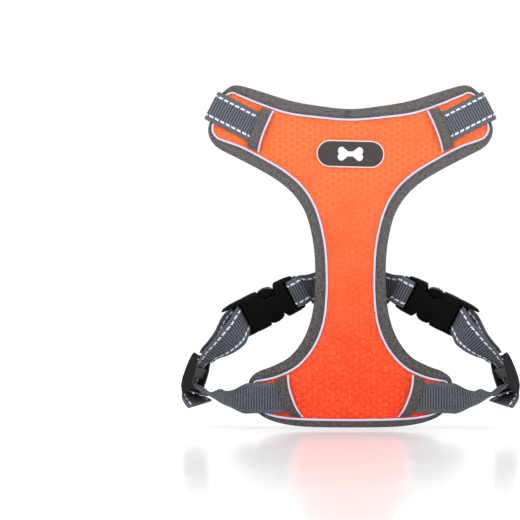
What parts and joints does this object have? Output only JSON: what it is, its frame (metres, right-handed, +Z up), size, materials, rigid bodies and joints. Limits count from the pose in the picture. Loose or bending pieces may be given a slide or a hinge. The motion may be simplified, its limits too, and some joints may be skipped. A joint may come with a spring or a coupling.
{
  "type": "no pull dog harness",
  "caption": "Padded chest-plate dog harness with bound orange panels, reflective webbing, side-release buckles, strap sliders, a back handle and a leash ring.",
  "frame": {"origin": "centre of the chest panel's lining face, at half of the panel's height, where the dog's chest lies against it", "axes": "+Z up towards the neck, +Y from the chest panel's lining towards the dog and the back panel, +X towards the harness's left-hand side as the viewer in front sees it on the right"},
  "size_m": [0.2822, 0.0643, 0.2843],
  "materials": {
    "orange_fabric": "matte weave embossed with hexagons",
    "foam": "soft foam",
    "lining_mesh": "air mesh",
    "grey_binding": "matte woven tape",
    "reflective_piping": "reflective",
    "grey_webbing": "ribbed nylon webbing",
    "black_plastic": "moulded acetal, satin",
    "badge_rubber": "soft moulded rubber, matte",
    "badge_rim": "soft moulded rubber, matte",
    "ring_steel": "polished nickel plate"
  },
  "bodies": {
    "harness": {"chest_fabric": "orange_fabric", "chest_foam": "foam", "chest_lining": "lining_mesh", "chest_binding": "grey_binding", "chest_piping": "reflective_piping", "badge": "badge_rubber", "badge_rim": "badge_rim", "back_fabric": "orange_fabric", "back_foam": "foam", "back_lining": "lining_mesh", "back_binding": "grey_binding", "back_piping": "reflective_piping", "girth_webbing": "grey_webbing", "spine_webbing": "grey_webbing", "handle": "grey_webbing", "ring_keeper": "grey_webbing", "upper_band_right": "grey_binding", "upper_band_piping_right": "reflective_piping", "lower_band_right": "grey_binding", "lower_band_piping_right": "reflective_piping", "neck_strap_right": "grey_webbing", "female_clip_right": "black_plastic", "plain_strap_right": "grey_webbing", "upper_band_left": "grey_binding", "upper_band_piping_left": "reflective_piping", "lower_band_left": "grey_binding", "lower_band_piping_left": "reflective_piping", "neck_strap_left": "grey_webbing", "female_clip_left": "black_plastic", "plain_strap_left": "grey_webbing"},
    "plug_right": {"male_clip_right": "black_plastic", "reflective_strap_right": "grey_webbing"},
    "prong_top_right": {"prong_top_right": "black_plastic"},
    "prong_bottom_right": {"prong_bottom_right": "black_plastic"},
    "slider_right": {"girth_slider_right": "black_plastic", "strap_loop_right": "grey_webbing"},
    "neck_slider_right": {"neck_slider_right": "black_plastic"},
    "plug_left": {"male_clip_left": "black_plastic", "reflective_strap_left": "grey_webbing"},
    "prong_top_left": {"prong_top_left": "black_plastic"},
    "prong_bottom_left": {"prong_bottom_left": "black_plastic"},
    "slider_left": {"girth_slider_left": "black_plastic", "strap_loop_left": "grey_webbing"},
    "neck_slider_left": {"neck_slider_left": "black_plastic"},
    "leash_ring": {"leash_ring": "ring_steel"}
  },
  "joints": [
    {"name": "release_right", "type": "slide", "parent": "harness", "child": "plug_right", "axis": [0.8949, 0, -0.4462], "range_m": [0, 0.026], "deforming": ["prong_top_right", "prong_bottom_right"]},
    {"name": "prong_top_right_press", "type": "hinge", "parent": "plug_right", "child": "prong_top_right", "pos_m": [0.08851, 0.01272, -0.04122], "axis": [-0.1382, -0.9508, -0.2772], "range_deg": [0, 6], "stiffness_Nm_per_rad": 0.6},
    {"name": "prong_bottom_right_press", "type": "hinge", "parent": "plug_right", "child": "prong_bottom_right", "pos_m": [0.07952, 0.01928, -0.05926], "axis": [-0.1382, -0.9508, -0.2772], "range_deg": [-6, 0], "stiffness_Nm_per_rad": 0.6},
    {"name": "girth_adjust_right", "type": "slide", "parent": "plug_right", "child": "slider_right", "axis": [-0.4202, 0, 0.9074], "range_m": [0, 0.012], "deforming": ["reflective_strap_right"]},
    {"name": "neck_adjust_right", "type": "slide", "parent": "harness", "child": "neck_slider_right", "axis": [-0.8312, 0.3558, -0.4272], "range_m": [-0.005, 0.005]},
    {"name": "release_left", "type": "slide", "parent": "harness", "child": "plug_left", "axis": [-0.8949, 0, -0.4462], "range_m": [0, 0.026], "deforming": ["prong_top_left", "prong_bottom_left"]},
    {"name": "prong_top_left_press", "type": "hinge", "parent": "plug_left", "child": "prong_top_left", "pos_m": [-0.08851, 0.01272, -0.04122], "axis": [-0.1382, 0.9508, 0.2772], "range_deg": [0, 6], "stiffness_Nm_per_rad": 0.6},
    {"name": "prong_bottom_left_press", "type": "hinge", "parent": "plug_left", "child": "prong_bottom_left", "pos_m": [-0.07952, 0.01928, -0.05926], "axis": [-0.1382, 0.9508, 0.2772], "range_deg": [-6, 0], "stiffness_Nm_per_rad": 0.6},
    {"name": "girth_adjust_left", "type": "slide", "parent": "plug_left", "child": "slider_left", "axis": [0.4202, 0, 0.9074], "range_m": [0, 0.012], "deforming": ["reflective_strap_left"]},
    {"name": "neck_adjust_left", "type": "slide", "parent": "harness", "child": "neck_slider_left", "axis": [0.8312, 0.3558, -0.4272], "range_m": [-0.005, 0.005]},
    {"name": "leash_ring_swing", "type": "hinge", "parent": "harness", "child": "leash_ring", "pos_m": [0, 0.0312, -0.025], "axis": [1, 0, 0], "range_deg": [0, 120]}
  ],
  "couplings": [
    {"joint": "prong_bottom_right_press", "follows": "prong_top_right_press", "ratio": -1},
    {"joint": "prong_bottom_left_press", "follows": "prong_top_left_press", "ratio": -1}
  ]
}
